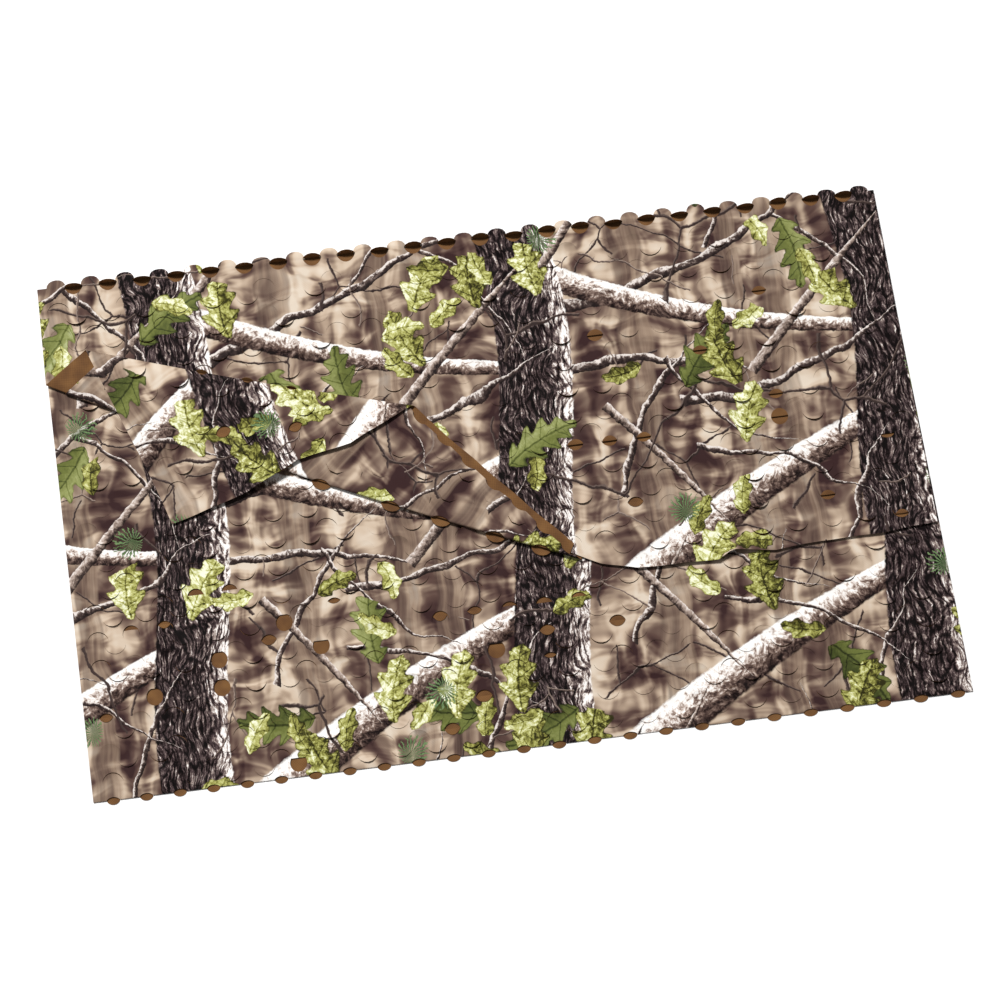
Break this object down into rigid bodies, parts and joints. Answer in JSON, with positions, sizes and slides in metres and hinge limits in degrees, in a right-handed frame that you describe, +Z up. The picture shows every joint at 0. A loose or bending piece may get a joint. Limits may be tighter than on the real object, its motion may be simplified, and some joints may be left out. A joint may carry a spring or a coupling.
{
  "type": "camouflage net",
  "caption": "Die-cut camouflage net, one printed cloth sheet with a brown reverse, folded in four with one corner turned over, lying flat.",
  "frame": {"origin": "middle of the folded bundle's footprint, on the ground under it", "axes": "+X along the folds, +Y from the bottom fold to the top fold, +Z up from the ground"},
  "size_m": [1.5102, 0.9386, 0.0186],
  "materials": {
    "net_cloth": "matt printed polyester, brown on the reverse"
  },
  "bodies": {
    "root": {"net_sheet": "net_cloth"}
  },
  "joints": []
}
